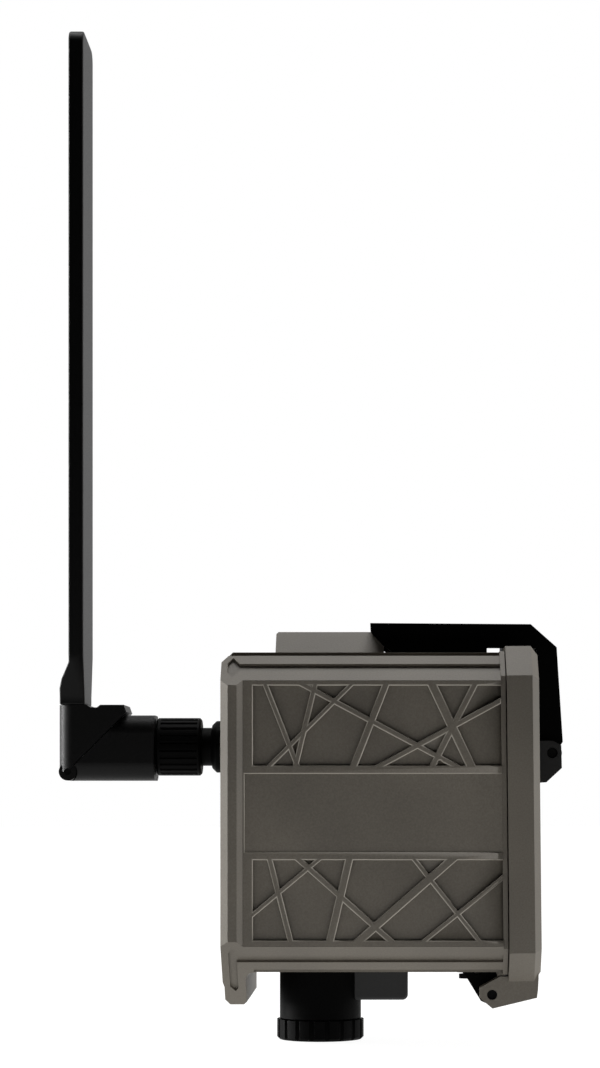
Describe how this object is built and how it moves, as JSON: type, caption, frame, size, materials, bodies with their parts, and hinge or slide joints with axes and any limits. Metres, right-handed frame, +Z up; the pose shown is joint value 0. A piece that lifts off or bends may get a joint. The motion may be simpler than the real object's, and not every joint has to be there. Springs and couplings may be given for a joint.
{
  "type": "trail camera cellular link box",
  "caption": "Weatherproof box that links a trail camera to a phone network: folding aerial, latched battery door, capped cable port.",
  "frame": {"origin": "centre of the tripod thread's mouth, on the back face", "axes": "+Z up along the aerial, -Y out of the patterned front, +Y out of the back face and the tripod thread, +X towards the battery door, -X towards the aerial"},
  "size_m": [0.1355, 0.072, 0.2708],
  "materials": {
    "shell": "fine moulded grain, brown grey",
    "black_plastic": "fine satin black",
    "grey_bracket": "dark grey",
    "inner_plastic": "plain dark grey",
    "rubber": "soft black",
    "steel": "bright zinc plated",
    "brass": "plain",
    "circuit_board": "solder mask over glass epoxy",
    "components": "moulded chip bodies",
    "shield": "tinned can",
    "card": "white card",
    "lamp": "green lens",
    "cell": "plain wrapper, bare ends",
    "lead": "thin jacket"
  },
  "bodies": {
    "housing": {"front_cover": "shell", "front_panel": "shell", "housing_shell": "shell", "rear_cover": "shell", "strap_bridge": "black_plastic", "bridge_screws": "steel", "thread_insert": "brass", "rear_screws": "steel", "front_screws": "steel", "latch_keeper": "shell", "keeper_screws": "steel", "hinge_knuckle": "black_plastic", "knuckle_screws": "steel", "antenna_jack": "brass", "jack_washer": "black_plastic", "jack_nut": "brass", "port_spout": "black_plastic", "port_connector": "black_plastic", "connector_pins": "brass", "power_housing": "black_plastic", "power_jack": "brass", "main_board": "circuit_board", "board_parts": "components", "board_spacers": "brass", "board_screws": "steel", "modem_module": "shield", "sim_socket": "inner_plastic", "control_plate": "inner_plastic", "status_light": "lamp", "switch_block": "inner_plastic", "battery_tray": "inner_plastic", "tray_runners": "inner_plastic", "battery_cells": "cell", "battery_springs": "steel", "contact_plates": "steel", "antenna_lead": "lead"},
    "door": {"door_cover": "shell", "door_liner": "inner_plastic", "liner_screws": "steel", "door_seal": "rubber", "hinge_pin": "steel", "latch_bracket": "grey_bracket", "latch_screws": "steel", "latch_pin": "steel"},
    "latch": {"latch_lever": "black_plastic"},
    "coupling_nut": {"antenna_nut": "black_plastic"},
    "elbow": {"antenna_sleeve": "black_plastic"},
    "blade": {"antenna_knuckle": "black_plastic", "antenna_pin": "steel", "antenna_blade": "black_plastic"},
    "seal_disc": {"port_seal": "rubber"},
    "cap": {"port_cap": "black_plastic"},
    "plug": {"power_plug": "rubber"},
    "card": {"sim_card": "card"},
    "button": {"test_button": "inner_plastic"}
  },
  "joints": [
    {"name": "door_hinge", "type": "hinge", "parent": "housing", "child": "door", "pos_m": [0.0295, -0.036, -0.04824], "axis": [0, 1, 0], "range_deg": [0, 105]},
    {"name": "latch_hinge", "type": "hinge", "parent": "door", "child": "latch", "pos_m": [0.0461, -0.0349, 0.0157], "axis": [0, 1, 0], "range_deg": [0, 100]},
    {"name": "nut_turn", "type": "hinge", "parent": "housing", "child": "coupling_nut", "pos_m": [-0.0543, -0.042, 0.0175], "axis": [1, 0, 0], "continuous": true},
    {"name": "elbow_turn", "type": "hinge", "parent": "housing", "child": "elbow", "pos_m": [-0.0604, -0.042, 0.0175], "axis": [1, 0, 0], "continuous": true},
    {"name": "blade_fold", "type": "hinge", "parent": "elbow", "child": "blade", "pos_m": [-0.0839, -0.042, 0.0107], "axis": [0, -1, 0], "range_deg": [0, 90]},
    {"name": "cap_lift", "type": "slide", "parent": "housing", "child": "seal_disc", "axis": [0, 0, -1], "range_m": [0, 0.004]},
    {"name": "cap_turn", "type": "hinge", "parent": "seal_disc", "child": "cap", "pos_m": [-0.0163, -0.038, -0.0563], "axis": [0, 0, -1], "range_deg": [0, 720]},
    {"name": "plug_pull", "type": "slide", "parent": "housing", "child": "plug", "axis": [0, 0, -1], "range_m": [0, 0.008]},
    {"name": "card_slide", "type": "slide", "parent": "housing", "child": "card", "axis": [1, 0, 0], "range_m": [0, 0.0034]},
    {"name": "button_press", "type": "slide", "parent": "housing", "child": "button", "axis": [-1, 0, 0], "range_m": [0, 0.0008], "stiffness_N_per_m": 400, "springref_m": -0.0005}
  ],
  "couplings": [
    {"joint": "cap_turn", "follows": "cap_lift", "rad_per_m": 3141.6}
  ]
}
